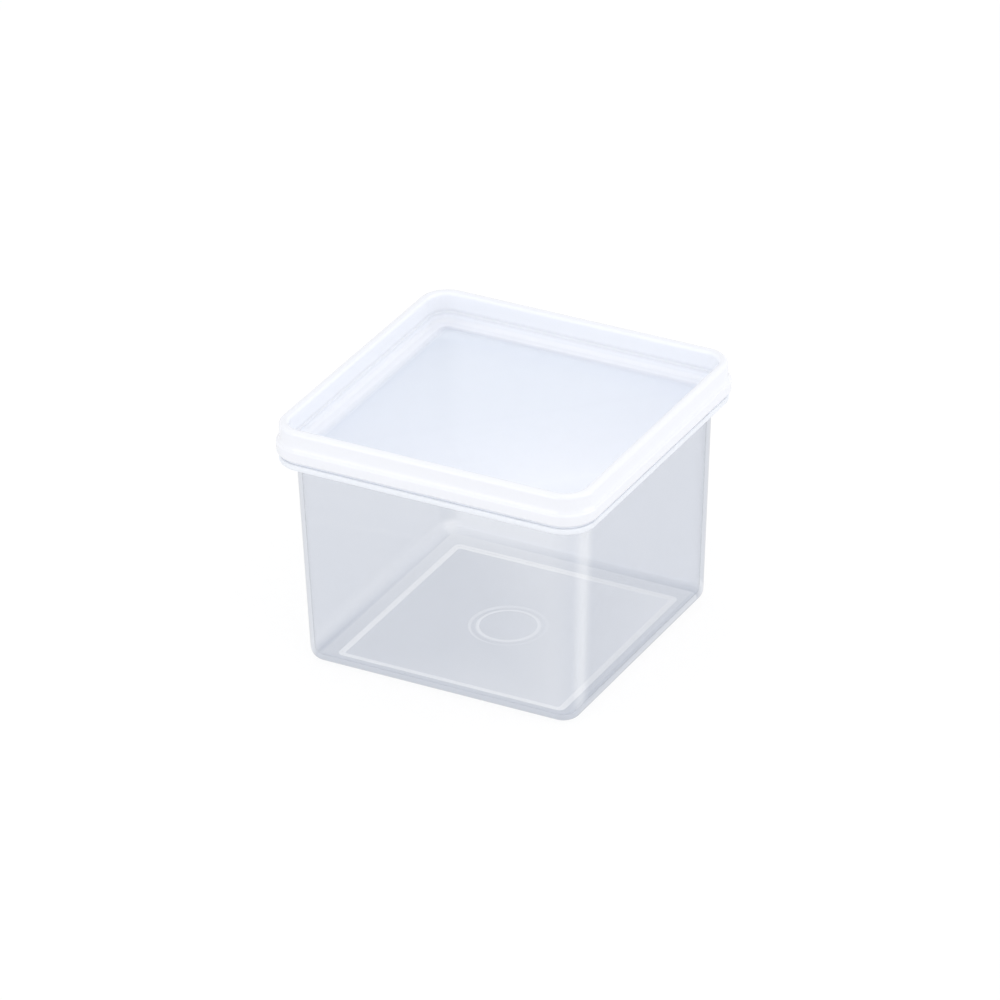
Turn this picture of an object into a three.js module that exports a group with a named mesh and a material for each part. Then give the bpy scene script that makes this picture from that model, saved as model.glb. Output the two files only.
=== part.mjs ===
// Square food storage container: a clear tub with a flanged rim, and a translucent lift-off lid.
// Millimetres, +Z up. The origin is the middle of the footprint, on the surface that the tub stands on.
import * as THREE from 'three';

// Tub walls and base
const tubBaseWidth = 87.0; // across the outer walls, carried down to the ground
const tubTopWidth = 92.2; // across the outer walls, under the flange
const tubCorner = 5.7; // plan corner radius of the outer walls, at the ground
const wall = 1.2; // thickness of the walls
const floor = 1.2; // thickness of the base, inside its foot
const baseRadius = 3.7; // round edge between wall and base, outside
const footWidth = 3.9; // flat frame that the tub stands on, round the recess of the underside
const panelCorner = 0.8; // plan corner radius of the recess
const panelRise = 0.4; // depth of the recess, above the foot
const panelRun = 0.5; // width of the slope round the recess
const ringInside = 9.2; // radius of the ring in the recess, inner edge
const ringWidth = 2.4; // across the ring's band
const ringRise = 0.3; // how far the ring stands down from the recess
const ringFlank = 0.6; // width of the ring's sloping sides

// Tub rim, from the wall outwards
const ledgeWidth = 2.8; // level ledge between the inner wall and the collar
const ledgeRadius = 0.8; // round edge from the ledge into the tub
const collarWall = 1.5; // thickness of the upright collar, which has a round top
const collarHeight = 3.7; // above the flange
const flangeLip = 0.8; // flange outside the collar
const flangeTop = 67.3; // height of the flange's upper face, which is also the ledge
const flangeThickness = 1.9;
const flangeEdge = 0.5; // round edges of the flange
const flangeFillet = 0.9; // under the flange, against the wall
const flangeCorner = 9.2; // plan corner radius of the flange

// Fits between lid and tub
const seatGap = 0.3; // lid above the ledge and the collar
const fitGap = 0.3; // lid beside the collar
const skirtGap = 1.0; // lid's skirt above the flange

// Lid
const sheet = 0.9; // thickness of the panel, plug wall and ridge
const plugRound = 0.8; // round lower edge of the plug
const recessFillet = 1.2; // round edge between panel and plug wall
const ridgeLean = 0.45; // how far the plug wall steps outwards above the collar
const ridgeRise = 6.5; // ridge above the wide part of the skirt
const ridgeHollow = 1.0; // across the hollow inside the ridge
const skirtWall = 1.2; // thickness of the skirt beside the collar
const skirtShoulder = 0.9; // round shoulder over the wide part of the skirt
const shoulderSlope = 1.2; // height of the slope from the shoulder to the ridge

// Facets
const cornerFacets = 8; // round each plan corner
const bendFacets = 6; // round each bend of a section

// One level of a square body: half width, plan corner radius and height.
const level = (half, corner, z) => ({ half, corner, z });

// One level of a round body.
const disc = (radius, z) => ({ radius, z });

// Levels along a bend of the wall section. Angles are in degrees: 0 points outwards and 90 up.
// The plan corners of all of them turn about the point that lies cornerCentre from both middle planes.
function bend(centreHalf, centreZ, radius, from, to, cornerCentre) {
  const levels = [];
  for (let i = 0; i <= bendFacets; i += 1) {
    const angle = THREE.MathUtils.degToRad(from + ((to - from) * i) / bendFacets);
    const half = centreHalf + radius * Math.cos(angle);
    levels.push(level(half, half - cornerCentre, centreZ + radius * Math.sin(angle)));
  }
  return levels;
}

// The points of one level, anticlockwise seen from above. Every level has the same number of points.
function outline({ half, corner, radius, z }) {
  const points = [];
  const count = 4 * (cornerFacets + 1);
  for (let i = 0; i < count; i += 1) {
    const quadrant = Math.floor(i / (cornerFacets + 1));
    const step = i % (cornerFacets + 1);
    if (radius !== undefined) {
      const turn = ((i + 0.5) / count) * 2 * Math.PI;
      points.push(new THREE.Vector3(radius * Math.cos(turn), radius * Math.sin(turn), z));
    } else {
      const turn = (quadrant + step / cornerFacets) * (Math.PI / 2);
      const signX = quadrant === 0 || quadrant === 3 ? 1 : -1;
      const signY = quadrant < 2 ? 1 : -1;
      const x = signX * (half - corner) + corner * Math.cos(turn);
      const y = signY * (half - corner) + corner * Math.sin(turn);
      points.push(new THREE.Vector3(x, y, z));
    }
  }
  return points;
}

// A closed shell through levels that run from the middle of the underside, round the rim,
// to the middle of the upper side.
function shell(levels) {
  const rings = levels.map(outline);
  const count = rings[0].length;
  const top = (rings.length - 1) * count;
  const points = rings.flat();
  const under = points.push(new THREE.Vector3(0, 0, levels[0].z)) - 1;
  const over = points.push(new THREE.Vector3(0, 0, levels[levels.length - 1].z)) - 1;
  const triangles = [];
  for (let i = 0; i < count; i += 1) {
    const next = (i + 1) % count;
    triangles.push(under, next, i, over, top + i, top + next);
    for (let row = 0; row < top; row += count) {
      triangles.push(row + i, row + next, row + count + next);
      triangles.push(row + i, row + count + next, row + count + i);
    }
  }
  const geometry = new THREE.BufferGeometry().setFromPoints(points);
  geometry.setIndex(triangles);
  geometry.computeVertexNormals();
  return geometry;
}

// Heights and half widths that lid and tub share
const collarIn = tubTopWidth / 2 - wall + ledgeWidth;
const collarOut = collarIn + collarWall;
const collarTop = flangeTop + collarHeight;
const flangeOut = collarOut + flangeLip;
const rimCentre = flangeOut - flangeCorner;

// A level of the rim or the lid, whose plan corners all turn about the same four points
const rim = (half, z) => level(half, half - rimCentre, z);

// Tub: underside, outer wall, flange, collar, ledge, inner wall and floor.
function tubLevels() {
  const flangeUnder = flangeTop - flangeThickness;
  const slope = (tubTopWidth - tubBaseWidth) / 2 / flangeUnder;
  const draft = THREE.MathUtils.radToDeg(Math.atan(slope));
  const wallHalf = (z) => tubBaseWidth / 2 + slope * z;
  const wallCentre = tubBaseWidth / 2 - tubCorner;
  const edgeCentre = wallHalf(baseRadius) - baseRadius * Math.hypot(1, slope);
  const insideRadius = baseRadius - wall;
  const insideZ = panelRise + floor + insideRadius;
  const insideCentre = wallHalf(insideZ) - wall - insideRadius * Math.hypot(1, slope);
  const footInside = edgeCentre - footWidth;
  const panel = footInside - panelRun;
  const ringOutside = ringInside + ringWidth;
  const ringUnder = panelRise - ringRise;
  const filletZ = flangeUnder - flangeFillet;
  const ledgeZ = flangeTop - ledgeRadius;
  const ledgeCentre = wallHalf(ledgeZ) - wall + ledgeRadius;
  const edgeHalf = flangeOut - flangeEdge;
  const collarRound = collarWall / 2;

  return [
    disc(ringInside, panelRise),
    disc(ringInside + ringFlank, ringUnder),
    disc(ringOutside - ringFlank, ringUnder),
    disc(ringOutside, panelRise),
    level(panel, panelCorner, panelRise),
    level(footInside, panelCorner + panelRun, 0),
    ...bend(edgeCentre, baseRadius, baseRadius, -90, -draft, wallCentre),
    ...bend(wallHalf(filletZ) + flangeFillet, filletZ, flangeFillet, 180, 90, wallCentre),
    ...bend(edgeHalf, flangeUnder + flangeEdge, flangeEdge, -90, 0, rimCentre),
    ...bend(edgeHalf, flangeTop - flangeEdge, flangeEdge, 0, 90, rimCentre),
    rim(collarOut, flangeTop),
    ...bend(collarIn + collarRound, collarTop - collarRound, collarRound, 0, 180, rimCentre),
    rim(collarIn, flangeTop),
    ...bend(ledgeCentre, ledgeZ, ledgeRadius, 90, 180, wallCentre),
    ...bend(insideCentre, insideZ, insideRadius, -draft, -90, wallCentre),
  ];
}

// Lid: underside, plug wall, hollow of the ridge, skirt, ridge and recessed panel.
function lidLevels() {
  const panelUnder = flangeTop + seatGap;
  const panelTop = panelUnder + sheet;
  const plug = collarIn - fitGap;
  const recess = plug - sheet;
  const gripTop = collarTop + seatGap;
  const leanTop = gripTop + ridgeLean;
  const hollow = ridgeHollow / 2;
  const crest = hollow + sheet;
  const crestHalf = recess + ridgeLean + crest;
  const crestZ = gripTop + ridgeRise - crest;
  const grip = collarOut + fitGap;
  const skirtEnd = skirtWall / 2;
  const skirtUnder = flangeTop + skirtGap;
  const shoulderHalf = grip + skirtWall - skirtShoulder;

  return [
    ...bend(plug - plugRound, panelUnder + plugRound, plugRound, -90, 0, rimCentre),
    rim(plug, gripTop),
    rim(plug + ridgeLean, leanTop),
    ...bend(crestHalf, crestZ, hollow, 180, 0, rimCentre),
    rim(crestHalf + hollow, gripTop + shoulderSlope),
    rim(grip, gripTop),
    ...bend(grip + skirtEnd, skirtUnder + skirtEnd, skirtEnd, 180, 360, rimCentre),
    ...bend(shoulderHalf, gripTop, skirtShoulder, 0, 60, rimCentre),
    rim(crestHalf + crest, gripTop + skirtShoulder + shoulderSlope),
    ...bend(crestHalf, crestZ, crest, 0, 180, rimCentre),
    rim(recess + ridgeLean, leanTop),
    rim(recess, gripTop),
    ...bend(recess - recessFillet, panelTop + recessFillet, recessFillet, 0, -90, rimCentre),
  ];
}

function piece(name, levels, colour, roughness) {
  const material = new THREE.MeshStandardMaterial({
    color: colour,
    roughness,
    metalness: 0,
    transparent: true,
    opacity: 0.6,
  });
  const mesh = new THREE.Mesh(shell(levels), material);
  mesh.name = name;
  return mesh;
}

const container = new THREE.Group();
container.add(piece('tub', tubLevels(), 0xd9dde6, 0.12));
container.add(piece('lid', lidLevels(), 0xf4f6fb, 0.35));

export default container;
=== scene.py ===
"""Looks of the square food storage container: a clear tub, a translucent lid, a pale floor and soft light."""
import math

import bpy
from mathutils import Matrix, Vector


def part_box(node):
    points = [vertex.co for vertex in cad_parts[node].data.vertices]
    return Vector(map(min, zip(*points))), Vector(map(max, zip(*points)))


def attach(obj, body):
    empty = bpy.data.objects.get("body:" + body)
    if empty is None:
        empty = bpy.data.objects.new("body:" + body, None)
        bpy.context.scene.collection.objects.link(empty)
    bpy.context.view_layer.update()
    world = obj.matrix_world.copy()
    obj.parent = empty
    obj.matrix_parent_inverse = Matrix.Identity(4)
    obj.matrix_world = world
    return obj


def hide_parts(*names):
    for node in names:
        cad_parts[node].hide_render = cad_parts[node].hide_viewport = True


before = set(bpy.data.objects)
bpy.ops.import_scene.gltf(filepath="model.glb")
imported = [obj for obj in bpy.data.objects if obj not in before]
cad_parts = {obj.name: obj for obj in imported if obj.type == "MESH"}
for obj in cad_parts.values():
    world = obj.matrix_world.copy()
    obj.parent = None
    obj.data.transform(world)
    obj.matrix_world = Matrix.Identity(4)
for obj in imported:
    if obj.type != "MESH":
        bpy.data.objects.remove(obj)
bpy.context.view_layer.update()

MM = 0.001

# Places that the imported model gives
TUB_LOW, TUB_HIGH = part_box("tub")
LID_LOW, LID_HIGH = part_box("lid")
FLANGE_OUT = TUB_HIGH.x  # half width of the tub's flange
COLLAR_TOP = TUB_HIGH.z
SKIRT_OUT = LID_HIGH.x  # half width of the lid's skirt
LID_UNDER = LID_LOW.z
RIDGE_TOP = LID_HIGH.z

# Tub walls and base
TUB_BASE_HALF = 43.5 * MM  # outer walls carried down to the ground
TUB_TOP_HALF = 46.1 * MM  # outer walls under the flange
TUB_CORNER = 5.7 * MM
WALL = 1.2 * MM
FLOOR = 1.2 * MM
BASE_RADIUS = 3.7 * MM
FOOT_WIDTH = 3.9 * MM
PANEL_CORNER = 0.8 * MM
PANEL_RISE = 0.4 * MM
PANEL_RUN = 0.5 * MM
RING_INSIDE = 9.2 * MM
RING_WIDTH = 2.4 * MM
RING_RISE = 0.3 * MM
RING_FLANK = 0.6 * MM

# Tub rim
FLANGE_TOP = 67.3 * MM
FLANGE_THICKNESS = 1.9 * MM
FLANGE_EDGE = 0.5 * MM
FLANGE_FILLET = 0.9 * MM
FLANGE_CORNER = 9.2 * MM
FLANGE_LIP = 0.8 * MM
COLLAR_WALL = 1.5 * MM
LEDGE_RADIUS = 0.8 * MM
RIM_CENTRE = FLANGE_OUT - FLANGE_CORNER  # where the plan corners of rim and lid turn

# Lid
FIT_GAP = 0.3 * MM
SKIRT_GAP = 1.0 * MM  # above the flange
SHEET = 0.9 * MM
PLUG_ROUND = 0.8 * MM
RECESS_FILLET = 1.2 * MM
RIDGE_LEAN = 0.45 * MM
RIDGE_HOLLOW = 1.0 * MM
SKIRT_SHOULDER = 0.9 * MM
SHOULDER_SLOPE = 1.2 * MM

# Facets
CORNER_FACETS = 40
QUADRANT_POINTS = CORNER_FACETS + 2  # an arc and one point on the wall beyond it
BEND_FACETS = 12

# Finish of the tub. Each face is a thin sheet with a cast, and shares say where it is pale, deep or milky;
# many pale and deep shares are painted light and painted shade. The base has its cast on the underside only.
# Painted light and shade per wall: the +X and -X walls painted darker, the +Y and -Y walls painted paler
WALL_PAINTED_LIGHT_AND_SHADE = ({"deep": 0.12}, {"pale": 0.1}, {"deep": 0.13}, {"pale": 0.45})  # +X, +Y, -X and -Y wall
PAINTED_CORNER_HIGHLIGHT = {"pale": 1.0, "milk": 0.2}  # a painted highlight down one upright corner, paler and a little milky
HIGHLIGHT_CORNER = 3  # the corner between the -Y and the +X wall
HIGHLIGHT_FROM = 0.5  # where round the corner the painted highlight begins, from 0 to 1
HIGHLIGHT_REACH = 4.0 * MM  # how far it spreads on to the wall beyond the corner
OUTER_CORNER_PAINTED_SHADE = {"deep": 0.55}  # painted shade that the other upright corners add to the walls, outside
INNER_CORNER_PAINTED_LIGHT = {"pale": 0.6}  # and painted light that they add inside
FLANGE_MILK = 0.85  # of the flange's edge
LEDGE_PALENESS = 0.7  # of the ledge inside the collar, and of the fillet under the flange
HIGHLIGHT_STRIP_WIDTH = 0.6 * MM  # painted highlights: pale strips beside the slope round the recess
LINE_FADE = 0.3 * MM  # over which a strip on the base begins and ends
HIGHLIGHT_STRIP_SHIFT = Vector((0.15, -0.5, 0)) * MM  # makes the far strips broader and the near ones narrower
FOOT_BEND = 25  # degrees of the base's round edge that have the foot's finish
FOOT_BEND_FADE = 3  # degrees over which that finish ends
BARE = {"pale": 1}  # without a cast, on the upper face of the base
BASE_CAST_AND_PAINTED_SHADE = 0.63  # share of the deep cast in the middle of the base, partly the cast and partly painted shade
BASE_PAINTED_SHADE_DRIFT = Vector((-13.6, -6.5, 0))  # how that share changes with each metre: painted shade, deeper towards -X and -Y
BASE_DEEPEST = 0.72
FOOT_CAST_AND_PAINTED_SHADE = 0.58  # share of the deep cast in the foot, partly painted shade, and how it changes with each metre: deeper towards -Y
FOOT_PAINTED_SHADE_DRIFT = Vector((0.5, -6.0, 0))
EDGE_PAINTED_SHADE = 1.6  # painted shade at the foot of the base's round edge, on the near sides
FAR_EDGE_PAINTED_SHADE = 0.3  # and in the middle of the far sides
HIGHLIGHT_STRIP_PALENESS = 0.4  # paleness of the painted highlight strips, and how it changes with each metre
HIGHLIGHT_STRIP_DRIFT = Vector((11.0, 11.0, 0))
RING_HIGHLIGHT_STRIP = 0.6 * MM  # painted highlight: a pale strip inside the ring
RING_INNER_HIGHLIGHT = {"deep": 0.15}  # painted highlight, less deep than the base, at the ring's inner edge
RING_OUTER_HIGHLIGHT = {"deep": 0.36}  # and a fainter painted highlight at its outer flank
INSIDE = {"inside": True}  # the inner faces of the walls
DEPTH_FADE = 1.5 * MM  # over which the walls' cast begins, above the base and below the flange

# Milkiness of the lid, the share of light that each of its faces scatters
PANEL_MILK = 0.57  # in the middle of the panel
PANEL_PAINTED_SHADE_DRIFT = 3.1  # how it falls for each metre towards the back corner: painted shade
PANEL_PAINTED_LIGHT_GAIN = 7.5  # how it grows for each metre towards the front corner: painted light
GROOVE_PAINTED_SHADE_MILK = 0.84  # in the narrow step of the plug wall, less milky so that a painted dark line of shade shows there
RIM_MILK = 0.97
GROOVE_FADE = 1.0 * MM  # over which the step's milkiness begins and ends
BORDER_MILK = 0.95  # panel beside the rim
BORDER = 1.5 * MM
MILK_FADE = 3.0 * MM  # how far the rim's milkiness reaches into the panel
CREST_WHITE_END = 120  # degrees over the ridge's crest, from outside, that have the rim's white
CREST_BRIGHT_START = 140  # degrees from where it has the painted lighter white of the inner walls

# Clear plastic
FLOW_SCALE, FLOW_DETAIL = 60, 2  # slow unevenness from the mould, in cells a metre
HAZE_SCALE, HAZE_DETAIL = 400, 3
HAZE_LOW, HAZE_HIGH = 0.04, 0.08  # roughness
CAST_LOW, CAST_HIGH = (0.930, 0.940, 0.960), (0.941, 0.948, 0.965)
# Deep cast, used also as painted shade on the base, its foot and round edge, the ring and some walls and
# corners
DEEP_CAST_AND_PAINTED_SHADE = (0.70, 0.725, 0.775)
# No cast, used also as painted light in the highlight strips, the corner highlight and some walls
PALE_CAST_AND_PAINTED_LIGHT = (0.998, 0.999, 1.0)
WAVE_HEIGHT, WAVE_STRENGTH = 0.2 * MM, 0.1
EDGE_WHITE = (0.88, 0.905, 0.95, 1)
DEPTH_COLOUR = (0.0, 0.1, 0.3, 1)  # what the thickness lets through
DEPTH_DENSITY = 14
POLISH_IOR = 1.49

# Milky plastic
CLOUD_SCALE, CLOUD_DETAIL = 90, 2
RIM_WHITE_LOW, RIM_WHITE_HIGH = (0.877, 0.891, 0.936), (0.891, 0.902, 0.943)
# Painted light: the inner walls, the step and the panel's border get a brighter white than the rim's outside
RECESS_PAINTED_LIGHT_WHITE = (0.94, 0.957, 0.998)
PANEL_WHITE = (0.905, 0.935, 1.0)
SATIN_LOW, SATIN_HIGH = 0.2, 0.26  # roughness
GRAIN_HEIGHT, GRAIN_STRENGTH = 0.1 * MM, 0.1
LID_TINT = (0.935, 0.96, 1.0, 1)  # of the light that goes straight through
LID_GLOW = 0.05  # share of the lid's scattered light that comes through from behind

NOISE_LOW, NOISE_HIGH = 0.3, 0.7  # the range that most of a noise's values lie in
SHARP_ANGLE = 40  # degrees between faces, above which their edge isn't smoothed

# World and floor
WHITE = (1, 1, 1, 1)
WORLD_LIGHT = 1.0  # strength on things
WORLD_SEEN = 1.0  # strength of the background that is seen
FLOOR_HALF = 4.0
FLOOR_Z = -0.2 * MM  # just clear of the tub's foot
FLOOR_SHADOW = 0.16  # how much of the floor's look is its own lit surface, which holds the shadow
FLOOR_GREY = (0.72, 0.72, 0.72, 1)
FLOOR_GLOW = 1.06

# Lights: places and sizes in metres, powers in watts
KEY = {"place": (0.13, -0.13, 0.33), "size": 0.15, "power": 0.06}
LEFT_FILL = {"place": (-0.15, -0.6, 0.15), "size": 0.4, "power": 0.78}
RIGHT_FILL = {"place": (0.6, 0.15, 0.15), "size": 0.4, "power": 0.89}
BOUNCES = 160  # many, because a look through the tub crosses many faces
DIFFUSE_BOUNCES = 64
TRANSPARENT_BOUNCES = 64

# Camera, from the photograph's perspective: angles in degrees, distance in metres
CAMERA_AZIMUTH = 28.36
CAMERA_ELEVATION = 28.63
CAMERA_ROLL = -0.85
CAMERA_DISTANCE = 2.2
CAMERA_LENS = 275.2  # millimetres, as the sensor's width is
CAMERA_SENSOR = 36
CAMERA_REACH = 20.0
CAMERA_AIM = Vector((-3.02, 1.65, 40.29)) * MM


def square(half, corner, z, **finish):
    """A ring of points round a rounded square, anticlockwise seen from above, and its finish."""
    points = []
    for quadrant in range(4):
        sign_x = 1 if quadrant in (0, 3) else -1
        sign_y = 1 if quadrant < 2 else -1
        for step in range(CORNER_FACETS + 1):
            turn = (quadrant + step / CORNER_FACETS) * math.pi / 2
            x = sign_x * (half - corner) + corner * math.cos(turn)
            y = sign_y * (half - corner) + corner * math.sin(turn)
            points.append((x, y, z))
        points.append((x - math.sin(turn) * HIGHLIGHT_REACH, y + math.cos(turn) * HIGHLIGHT_REACH, z))
    return points, finish


def disc(radius, z, **finish):
    """A ring of points round a circle, as many as a square has, and its finish."""
    count = 4 * QUADRANT_POINTS
    turns = [(i + 0.5) / count * 2 * math.pi for i in range(count)]
    return [(radius * math.cos(turn), radius * math.sin(turn), z) for turn in turns], finish


def bend(centre_half, centre_z, radius, start, end, corner_centre, **finish):
    """Rounded squares along a bend of the section. Angles in degrees: 0 points outwards and 90 up."""
    rings = []
    for i in range(BEND_FACETS + 1):
        angle = math.radians(start + (end - start) * i / BEND_FACETS)
        half = centre_half + radius * math.cos(angle)
        rings.append(square(half, half - corner_centre, centre_z + radius * math.sin(angle), **finish))
    return rings


def corner_share(i, share, addition):
    """A finish share of the upright walls: their painted light and shade, the painted highlight down one
    corner, and the painted shade outside and painted light inside that the other corners add.
    """
    corner, step = divmod(i, QUADRANT_POINTS)
    turn = min(step / CORNER_FACETS, 1)
    before = WALL_PAINTED_LIGHT_AND_SHADE[corner].get(share, 0)
    after = WALL_PAINTED_LIGHT_AND_SHADE[(corner + 1) % 4].get(share, 0)
    cast = before + (after - before) * turn
    if step > CORNER_FACETS:
        return cast
    if corner != HIGHLIGHT_CORNER:
        return cast + addition.get(share, 0) * math.sin(math.pi * turn) ** 2
    along = max(turn - HIGHLIGHT_FROM, 0) / (1 - HIGHLIGHT_FROM)
    return cast + (PAINTED_CORNER_HIGHLIGHT.get(share, 0) - cast) * math.sin(math.pi / 2 * along) ** 2


def share_at(point, i, share, finish):
    """A finish share at a point: the upright walls', or the ring's own, which may change with the place."""
    if not finish or "inside" in finish:
        return corner_share(i, share, INNER_CORNER_PAINTED_LIGHT if finish else OUTER_CORNER_PAINTED_SHADE)
    value = finish.get(share, 0)
    return value(Vector(point)) if callable(value) else value


# Finish shares that change with the place: painted light and shade, mixed with the cast in the base and foot
# and with the milkiness in the lid's panel
# Base: partly the plastic's cast, partly painted shade that darkens towards -X and -Y
def base_cast_and_painted_shade(point):
    return min(BASE_CAST_AND_PAINTED_SHADE + BASE_PAINTED_SHADE_DRIFT.dot(point), BASE_DEEPEST)


# Foot: partly the plastic's cast, partly painted shade that darkens towards -Y
def foot_cast_and_painted_shade(point):
    return FOOT_CAST_AND_PAINTED_SHADE + FOOT_PAINTED_SHADE_DRIFT.dot(point)


# Painted highlight strips, paler towards +X and +Y
def highlight_strip_paleness(point):
    return HIGHLIGHT_STRIP_PALENESS + HIGHLIGHT_STRIP_DRIFT.dot(point)


def edge_painted_shade(point):
    """Painted shade, deepest at the foot of the base's round edge, on the two near sides."""
    near = max(point.x, -point.y, 0) / TUB_BASE_HALF
    foot = FAR_EDGE_PAINTED_SHADE + (EDGE_PAINTED_SHADE - FAR_EDGE_PAINTED_SHADE) * near ** 2
    return min(foot * (1 - point.z / BASE_RADIUS) ** 2, 1)


def panel_milk_and_painted_light(point):
    """Milkier towards the front corner than towards the back one: painted light in front and painted shade at
    the back.
    """
    forward = point.x - point.y
    return PANEL_MILK + forward * (PANEL_PAINTED_LIGHT_GAIN if forward > 0 else PANEL_PAINTED_SHADE_DRIFT)


def shell_points(rings):
    """Points and finish shares of the rings, and of the middles of the first and the last one."""
    points = [point for ring, finish in rings for point in ring]
    shares = {}
    for share in ("pale", "deep", "milk"):
        shares[share] = [share_at(p, i, share, finish) for ring, finish in rings for i, p in enumerate(ring)]
    for ring, finish in (rings[0], rings[-1]):
        middle = (0, 0, ring[0][2])
        points.append(middle)
        for share, values in shares.items():
            values.append(share_at(middle, 0, share, finish))
    return points, shares


def shell_faces(count, rows):
    """Faces between the rings, and between the first and the last ring and their middles."""
    under, over = rows * count, rows * count + 1
    top = (rows - 1) * count
    faces = []
    for i in range(count):
        after = (i + 1) % count
        faces.append((under, after, i))
        faces.append((over, top + i, top + after))
        for row in range(0, top, count):
            faces.append((row + i, row + after, row + count + after, row + count + i))
    return faces


def shell(name, rings, material, body):
    """A closed shell through rings from the middle of the underside to the middle of the upper side."""
    points, shares = shell_points(rings)
    mesh = bpy.data.meshes.new(name)
    mesh.from_pydata(points, [], shell_faces(len(rings[0][0]), len(rings)))
    for share, values in shares.items():
        mesh.attributes.new(share, "FLOAT", "POINT").data.foreach_set("value", values)
    mesh.shade_smooth()
    mesh.set_sharp_from_angle(angle=math.radians(SHARP_ANGLE))
    mesh.materials.append(material)
    piece = bpy.data.objects.new(name, mesh)
    bpy.context.scene.collection.objects.link(piece)
    piece.modifiers.new("even_flats", "WEIGHTED_NORMAL").keep_sharp = True
    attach(piece, body)
    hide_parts(body)


def rim(half, z, **finish):
    return square(half, max(half - RIM_CENTRE, PANEL_CORNER), z, **finish)


def tub_rings():
    """Rings of the tub: underside, outer wall, flange, collar, ledge, inner wall and floor."""
    flange_under = FLANGE_TOP - FLANGE_THICKNESS
    slope = (TUB_TOP_HALF - TUB_BASE_HALF) / flange_under
    draft = math.degrees(math.atan(slope))
    wall_centre = TUB_BASE_HALF - TUB_CORNER
    stretch = math.hypot(1, slope)
    inside_radius = BASE_RADIUS - WALL
    inside_z = FLOOR + PANEL_RISE + inside_radius

    def wall_half(z):
        return TUB_BASE_HALF + slope * z

    edge_centre = wall_half(BASE_RADIUS) - BASE_RADIUS * stretch
    inside_centre = wall_half(inside_z) - WALL - inside_radius * stretch
    foot_inside = edge_centre - FOOT_WIDTH
    panel = foot_inside - PANEL_RUN
    ring_outside = RING_INSIDE + RING_WIDTH
    fillet_z = flange_under - FLANGE_FILLET
    ledge_z = FLANGE_TOP - LEDGE_RADIUS
    ledge_centre = wall_half(ledge_z) - WALL + LEDGE_RADIUS
    edge_half = FLANGE_OUT - FLANGE_EDGE
    collar_out = FLANGE_OUT - FLANGE_LIP
    collar_in = collar_out - COLLAR_WALL
    collar_round = COLLAR_WALL / 2
    ring_under = PANEL_RISE - RING_RISE
    floor_top = FLOOR + PANEL_RISE
    # Painted shade on the base, its foot and its round edge, and painted highlights beside the recess
    cast_and_shade = {"deep": base_cast_and_painted_shade}
    foot = {"deep": foot_cast_and_painted_shade}
    highlight_strip = {"pale": highlight_strip_paleness}
    base_edge_shade = {"deep": edge_painted_shade}
    foot_end = -90 + FOOT_BEND
    edge_start = foot_end + FOOT_BEND_FADE
    base_end = BASE_RADIUS + DEPTH_FADE
    flange_edge = {"pale": 1, "milk": FLANGE_MILK}
    ledge = {"pale": LEDGE_PALENESS}
    wall_end = fillet_z - DEPTH_FADE

    def recess(half, z, shift=Vector(), **finish):
        ring, finish = square(half, max(half - panel, 0) + PANEL_CORNER, z, **finish)
        return [Vector(point) + shift for point in ring], finish

    return [
        disc(RING_INSIDE - RING_HIGHLIGHT_STRIP - LINE_FADE, PANEL_RISE, **cast_and_shade),
        disc(RING_INSIDE - RING_HIGHLIGHT_STRIP, PANEL_RISE, **RING_INNER_HIGHLIGHT),
        disc(RING_INSIDE, PANEL_RISE, **RING_INNER_HIGHLIGHT),
        disc(RING_INSIDE + RING_FLANK, ring_under, **cast_and_shade),
        disc(ring_outside - RING_FLANK - LINE_FADE, ring_under, **cast_and_shade),
        disc(ring_outside - RING_FLANK, ring_under, **RING_OUTER_HIGHLIGHT),
        disc(ring_outside, PANEL_RISE, **RING_OUTER_HIGHLIGHT),
        disc(ring_outside + LINE_FADE, PANEL_RISE, **cast_and_shade),
        recess(panel - HIGHLIGHT_STRIP_WIDTH - LINE_FADE, PANEL_RISE, HIGHLIGHT_STRIP_SHIFT, **cast_and_shade),
        recess(panel - HIGHLIGHT_STRIP_WIDTH, PANEL_RISE, HIGHLIGHT_STRIP_SHIFT, **highlight_strip),
        recess(panel, PANEL_RISE, **highlight_strip),
        recess(foot_inside, 0, **highlight_strip),
        recess(foot_inside + HIGHLIGHT_STRIP_WIDTH, 0, -HIGHLIGHT_STRIP_SHIFT, **highlight_strip),
        recess(foot_inside + HIGHLIGHT_STRIP_WIDTH + LINE_FADE, 0, -HIGHLIGHT_STRIP_SHIFT, **foot),
        *bend(edge_centre, BASE_RADIUS, BASE_RADIUS, -90, foot_end, wall_centre, **foot),
        *bend(edge_centre, BASE_RADIUS, BASE_RADIUS, edge_start, -draft, wall_centre, **base_edge_shade),
        square(wall_half(base_end), wall_half(base_end) - wall_centre, base_end),
        square(wall_half(wall_end), wall_half(wall_end) - wall_centre, wall_end),
        *bend(wall_half(fillet_z) + FLANGE_FILLET, fillet_z, FLANGE_FILLET, 180, 90, wall_centre, **ledge),
        *bend(edge_half, flange_under + FLANGE_EDGE, FLANGE_EDGE, -90, 0, RIM_CENTRE, **flange_edge),
        *bend(edge_half, FLANGE_TOP - FLANGE_EDGE, FLANGE_EDGE, 0, 90, RIM_CENTRE, **flange_edge),
        rim(collar_out, FLANGE_TOP, **flange_edge),
        *bend(collar_in + collar_round, COLLAR_TOP - collar_round, collar_round, 0, 180, RIM_CENTRE),
        rim(collar_in, FLANGE_TOP, **ledge),
        *bend(ledge_centre, ledge_z, LEDGE_RADIUS, 90, 180, wall_centre, **ledge),
        square(wall_half(wall_end) - WALL, wall_half(wall_end) - WALL - wall_centre, wall_end, **INSIDE),
        *bend(inside_centre, inside_z, inside_radius, -draft, -90, wall_centre, **INSIDE),
        square(inside_centre - LINE_FADE, inside_centre - LINE_FADE - wall_centre, floor_top, **BARE),
    ]


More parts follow.
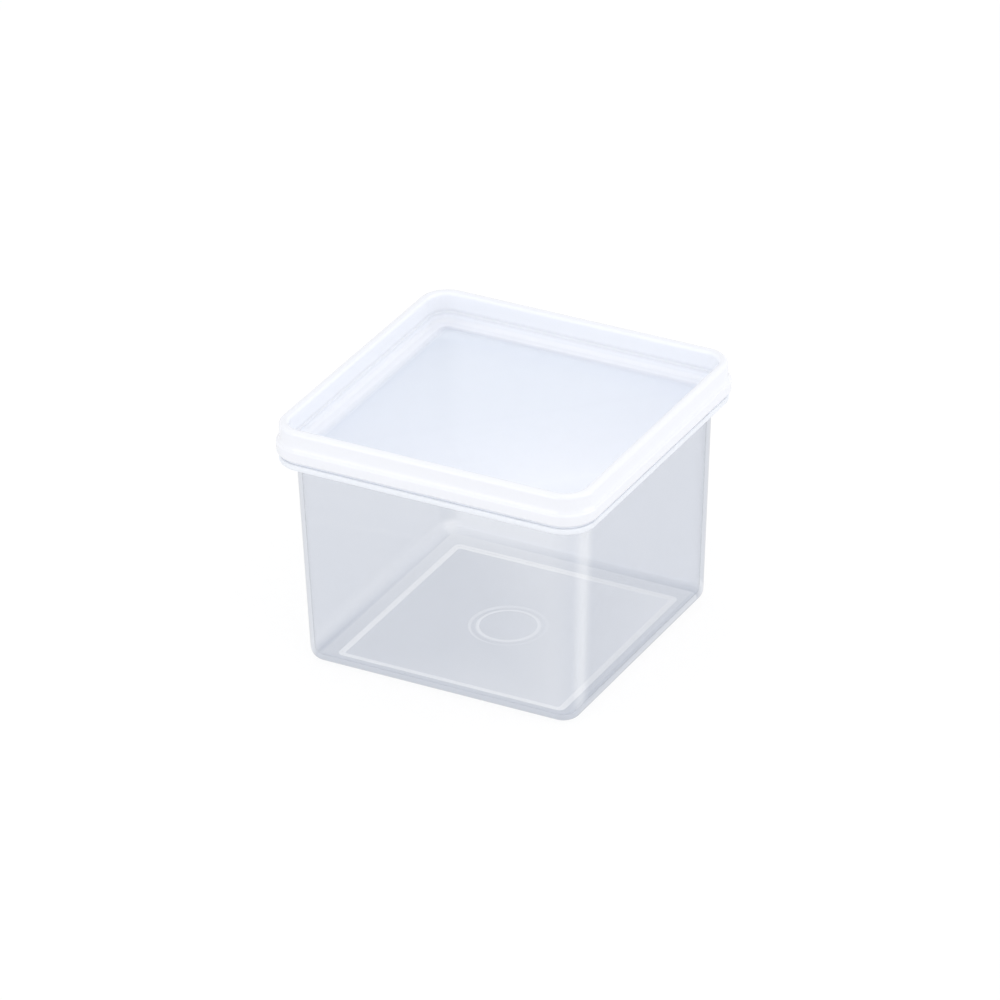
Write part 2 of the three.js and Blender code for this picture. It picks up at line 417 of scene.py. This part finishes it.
def lid_rings():
    """Rings of the lid: underside, plug wall, hollow of the ridge, skirt, ridge and recessed panel."""
    collar_out = FLANGE_OUT - FLANGE_LIP
    collar_in = collar_out - COLLAR_WALL
    panel_top = LID_UNDER + SHEET
    plug = collar_in - FIT_GAP
    recess = plug - SHEET
    grip_top = COLLAR_TOP + (LID_UNDER - FLANGE_TOP)
    lean_top = grip_top + RIDGE_LEAN
    hollow = RIDGE_HOLLOW / 2
    crest = hollow + SHEET
    crest_half = recess + RIDGE_LEAN + crest
    crest_z = RIDGE_TOP - crest
    grip = collar_out + FIT_GAP
    skirt_end = (SKIRT_OUT - grip) / 2
    shoulder_half = SKIRT_OUT - SKIRT_SHOULDER
    skirt_under = FLANGE_TOP + SKIRT_GAP
    fillet_half = recess - RECESS_FILLET
    white = {"milk": RIM_MILK}
    painted_bright = {"milk": RIM_MILK, "pale": 1}
    groove_shade = {"milk": GROOVE_PAINTED_SHADE_MILK, "pale": 1}
    border = {"milk": BORDER_MILK, "pale": 1}
    panel = {"milk": panel_milk_and_painted_light, "deep": 1}
    return [
        rim(plug - PLUG_ROUND - BORDER - MILK_FADE, LID_UNDER, **panel),
        rim(plug - PLUG_ROUND - BORDER, LID_UNDER, **border),
        *bend(plug - PLUG_ROUND, LID_UNDER + PLUG_ROUND, PLUG_ROUND, -90, 0, RIM_CENTRE, **border),
        rim(plug, grip_top - GROOVE_FADE, **white),
        rim(plug, grip_top, **groove_shade),
        rim(plug + RIDGE_LEAN, lean_top, **groove_shade),
        rim(plug + RIDGE_LEAN, lean_top + GROOVE_FADE, **white),
        *bend(crest_half, crest_z, hollow, 180, 0, RIM_CENTRE, **white),
        rim(crest_half + hollow, grip_top + SHOULDER_SLOPE, **white),
        rim(grip, grip_top, **white),
        *bend(grip + skirt_end, skirt_under + skirt_end, skirt_end, 180, 360, RIM_CENTRE, **white),
        *bend(shoulder_half, grip_top, SKIRT_SHOULDER, 0, 60, RIM_CENTRE, **white),
        rim(crest_half + crest, grip_top + SKIRT_SHOULDER + SHOULDER_SLOPE, **white),
        *bend(crest_half, crest_z, crest, 0, CREST_WHITE_END, RIM_CENTRE, **white),
        *bend(crest_half, crest_z, crest, CREST_BRIGHT_START, 180, RIM_CENTRE, **painted_bright),
        rim(recess + RIDGE_LEAN, lean_top + GROOVE_FADE, **painted_bright),
        rim(recess + RIDGE_LEAN, lean_top, **groove_shade),
        rim(recess, grip_top, **groove_shade),
        rim(recess, grip_top - GROOVE_FADE, **painted_bright),
        *bend(fillet_half, panel_top + RECESS_FILLET, RECESS_FILLET, 0, -90, RIM_CENTRE, **border),
        rim(fillet_half - BORDER, panel_top, **border),
        rim(fillet_half - BORDER - MILK_FADE, panel_top, **panel),
    ]


def new_material(name):
    """A material with its nodes, its links and its empty output."""
    material = bpy.data.materials.new(name)
    material.use_nodes = True
    nodes = material.node_tree.nodes
    nodes.clear()
    return material, nodes, material.node_tree.links, nodes.new("ShaderNodeOutputMaterial")


def noise(nodes, links, scale, detail):
    """Noise in object space, so that it lies still on the piece. Scale is in cells a metre."""
    place = nodes.new("ShaderNodeTexCoord")
    texture = nodes.new("ShaderNodeTexNoise")
    texture.inputs["Scale"].default_value = scale
    texture.inputs["Detail"].default_value = detail
    links.new(place.outputs["Object"], texture.inputs["Vector"])
    return texture.outputs["Fac"]


def spread(nodes, links, value, low, high):
    """Noise stretched over a range of values."""
    ramp = nodes.new("ShaderNodeMapRange")
    ramp.inputs["From Min"].default_value = NOISE_LOW
    ramp.inputs["From Max"].default_value = NOISE_HIGH
    ramp.inputs["To Min"].default_value = low
    ramp.inputs["To Max"].default_value = high
    links.new(value, ramp.inputs["Value"])
    return ramp.outputs["Result"]


def mixed(nodes, links, share, first, second):
    """A colour between two, each a plain colour or another node's output."""
    mix = nodes.new("ShaderNodeMix")
    mix.data_type = "RGBA"
    colours = [socket for socket in mix.inputs if socket.type == "RGBA"]
    for socket, colour in zip(colours, (first, second)):
        if isinstance(colour, tuple):
            socket.default_value = (*colour, 1)
        else:
            links.new(colour, socket)
    links.new(share, mix.inputs["Factor"])
    return [socket for socket in mix.outputs if socket.type == "RGBA"][0]


def ripple(nodes, links, value, distance, strength):
    bump = nodes.new("ShaderNodeBump")
    bump.inputs["Distance"].default_value = distance
    bump.inputs["Strength"].default_value = strength
    links.new(value, bump.inputs["Height"])
    return bump.outputs["Normal"]


def share_of(nodes, name):
    """A share that the mesh carries, as a node's output."""
    attribute = nodes.new("ShaderNodeAttribute")
    attribute.attribute_name = name
    return attribute.outputs["Fac"]


def blended(nodes, links, share, first, second):
    mix = nodes.new("ShaderNodeMixShader")
    if isinstance(share, float):
        mix.inputs["Fac"].default_value = share
    else:
        links.new(share, mix.inputs["Fac"])
    links.new(first, mix.inputs[1])
    links.new(second, mix.inputs[2])
    return mix.outputs["Shader"]


def glossed(nodes, links, base, roughness, normal):
    """A shader with a polished face: gloss by Fresnel, on its outer side only."""
    gloss = nodes.new("ShaderNodeBsdfGlossy")
    links.new(roughness, gloss.inputs["Roughness"])
    links.new(normal, gloss.inputs["Normal"])
    fresnel = nodes.new("ShaderNodeFresnel")
    fresnel.inputs["IOR"].default_value = POLISH_IOR
    links.new(normal, fresnel.inputs["Normal"])
    side = nodes.new("ShaderNodeNewGeometry")
    outside = nodes.new("ShaderNodeMath")
    outside.operation = "SUBTRACT"
    outside.inputs[0].default_value = 1
    links.new(side.outputs["Backfacing"], outside.inputs[1])
    mirror = nodes.new("ShaderNodeMath")
    mirror.operation = "MULTIPLY"
    links.new(fresnel.outputs["Fac"], mirror.inputs[0])
    links.new(outside.outputs["Value"], mirror.inputs[1])
    return blended(nodes, links, mirror.outputs["Value"], base, gloss.outputs["BSDF"])


def clear_plastic():
    """Clear polypropylene: polished and faintly wavy from the mould, with a cool grey cast."""
    material, nodes, links, out = new_material("clear_polypropylene")
    flow = noise(nodes, links, FLOW_SCALE, FLOW_DETAIL)
    haze = spread(nodes, links, noise(nodes, links, HAZE_SCALE, HAZE_DETAIL), HAZE_LOW, HAZE_HIGH)
    cast = mixed(nodes, links, flow, CAST_LOW, CAST_HIGH)
    # The deep and pale shares mix painted shade and painted light into the cast
    cast_and_painted_shade = mixed(nodes, links, share_of(nodes, "deep"), cast, DEEP_CAST_AND_PAINTED_SHADE)
    tint_and_painted_light = mixed(nodes, links, share_of(nodes, "pale"), cast_and_painted_shade, PALE_CAST_AND_PAINTED_LIGHT)
    sheet = nodes.new("ShaderNodeBsdfTransparent")
    links.new(tint_and_painted_light, sheet.inputs["Color"])
    wave = ripple(nodes, links, flow, WAVE_HEIGHT, WAVE_STRENGTH)
    clear = glossed(nodes, links, sheet.outputs["BSDF"], haze, wave)
    edge = nodes.new("ShaderNodeBsdfDiffuse")
    edge.inputs["Color"].default_value = EDGE_WHITE
    surface = blended(nodes, links, share_of(nodes, "milk"), clear, edge.outputs["BSDF"])
    links.new(surface, out.inputs["Surface"])
    depth = nodes.new("ShaderNodeVolumeAbsorption")
    depth.inputs["Color"].default_value = DEPTH_COLOUR
    depth.inputs["Density"].default_value = DEPTH_DENSITY
    links.new(depth.outputs["Volume"], out.inputs["Volume"])
    return material


def milky_plastic():
    """Natural polyethylene: thin and soft white, lets the tub show through."""
    material, nodes, links, out = new_material("natural_polyethylene")
    shader = nodes.new("ShaderNodeBsdfPrincipled")
    cloud = noise(nodes, links, CLOUD_SCALE, CLOUD_DETAIL)
    rim_white = mixed(nodes, links, cloud, RIM_WHITE_LOW, RIM_WHITE_HIGH)
    # Painted light: faces marked pale get a brighter white than the rest of the rim
    painted_light_white = mixed(nodes, links, share_of(nodes, "pale"), rim_white, RECESS_PAINTED_LIGHT_WHITE)
    white = mixed(nodes, links, share_of(nodes, "deep"), painted_light_white, PANEL_WHITE)
    links.new(white, shader.inputs["Base Color"])
    satin = spread(nodes, links, cloud, SATIN_LOW, SATIN_HIGH)
    links.new(satin, shader.inputs["Roughness"])
    glow = nodes.new("ShaderNodeBsdfTranslucent")
    links.new(white, glow.inputs["Color"])
    clear = nodes.new("ShaderNodeBsdfTransparent")
    clear.inputs["Color"].default_value = LID_TINT
    body = blended(nodes, links, LID_GLOW, shader.outputs["BSDF"], glow.outputs["BSDF"])
    grain = ripple(nodes, links, cloud, GRAIN_HEIGHT, GRAIN_STRENGTH)
    links.new(grain, shader.inputs["Normal"])
    sheet = glossed(nodes, links, clear.outputs["BSDF"], satin, grain)
    surface = blended(nodes, links, share_of(nodes, "milk"), sheet, body)
    links.new(surface, out.inputs["Surface"])
    return material


def seen_directly(nodes, links):
    """1 for rays that the camera, a reflection or a clear piece sees, and 0 for the light on things."""
    path = nodes.new("ShaderNodeLightPath")
    total = path.outputs["Is Camera Ray"]
    for kind in ("Is Glossy Ray", "Is Transmission Ray"):
        larger = nodes.new("ShaderNodeMath")
        larger.operation = "MAXIMUM"
        links.new(total, larger.inputs[0])
        links.new(path.outputs[kind], larger.inputs[1])
        total = larger.outputs["Value"]
    return total


def make_world():
    world = bpy.data.worlds.new("studio")
    bpy.context.scene.world = world
    world.use_nodes = True
    nodes, links = world.node_tree.nodes, world.node_tree.links
    nodes.clear()
    light = nodes.new("ShaderNodeBackground")
    light.inputs["Color"].default_value = WHITE
    light.inputs["Strength"].default_value = WORLD_LIGHT
    white = nodes.new("ShaderNodeBackground")
    white.inputs["Color"].default_value = WHITE
    white.inputs["Strength"].default_value = WORLD_SEEN
    out = nodes.new("ShaderNodeOutputWorld")
    seen = seen_directly(nodes, links)
    surface = blended(nodes, links, seen, light.outputs["Background"], white.outputs["Background"])
    links.new(surface, out.inputs["Surface"])


def make_floor():
    mesh = bpy.data.meshes.new("floor")
    signs = ((-1, -1), (1, -1), (1, 1), (-1, 1))
    mesh.from_pydata([(x * FLOOR_HALF, y * FLOOR_HALF, FLOOR_Z) for x, y in signs], [], [(0, 1, 2, 3)])
    material, nodes, links, out = new_material("pale_floor")
    lit = nodes.new("ShaderNodeBsdfDiffuse")
    lit.inputs["Color"].default_value = FLOOR_GREY
    white = nodes.new("ShaderNodeEmission")
    white.inputs["Strength"].default_value = FLOOR_GLOW
    share = nodes.new("ShaderNodeMath")
    share.operation = "MULTIPLY"
    share.inputs[1].default_value = 1 - FLOOR_SHADOW
    links.new(seen_directly(nodes, links), share.inputs[0])
    surface = blended(nodes, links, share.outputs["Value"], lit.outputs["BSDF"], white.outputs["Emission"])
    links.new(surface, out.inputs["Surface"])
    mesh.materials.append(material)
    floor = bpy.data.objects.new("floor", mesh)
    bpy.context.scene.collection.objects.link(floor)


def make_light(name, place, size, power):
    """A square soft light that looks at the container."""
    data = bpy.data.lights.new(name, "AREA")
    data.size = size
    data.energy = power
    lamp = bpy.data.objects.new(name, data)
    lamp.location = place
    lamp.rotation_euler = (CAMERA_AIM - Vector(place)).to_track_quat("-Z", "Y").to_euler()
    bpy.context.scene.collection.objects.link(lamp)


def make_camera():
    azimuth, elevation = math.radians(CAMERA_AZIMUTH), math.radians(CAMERA_ELEVATION)
    flat = math.cos(elevation)
    back = Vector((math.sin(azimuth) * flat, -math.cos(azimuth) * flat, math.sin(elevation)))
    right = Vector((math.cos(azimuth), math.sin(azimuth), 0))
    up = back.cross(right)
    level_view = Matrix((right, up, back)).transposed()
    roll = Matrix.Rotation(math.radians(CAMERA_ROLL), 3, "Z")
    data = bpy.data.cameras.new("camera")
    data.lens = CAMERA_LENS
    data.sensor_width = CAMERA_SENSOR
    data.clip_end = CAMERA_REACH
    camera = bpy.data.objects.new("camera", data)
    place = Matrix.Translation(CAMERA_AIM + back * CAMERA_DISTANCE)
    camera.matrix_world = place @ (level_view @ roll).to_4x4()
    bpy.context.scene.collection.objects.link(camera)
    bpy.context.scene.camera = camera


make_camera()
make_world()
make_floor()
make_light("key", **KEY)
make_light("left_fill", **LEFT_FILL)
make_light("right_fill", **RIGHT_FILL)
shell("container_tub", tub_rings(), clear_plastic(), "tub")
shell("container_lid", lid_rings(), milky_plastic(), "lid")

scene = bpy.context.scene
scene.view_settings.view_transform = "Standard"
scene.cycles.max_bounces = BOUNCES
scene.cycles.diffuse_bounces = DIFFUSE_BOUNCES
scene.cycles.glossy_bounces = BOUNCES
scene.cycles.transmission_bounces = BOUNCES
scene.cycles.transparent_max_bounces = TRANSPARENT_BOUNCES
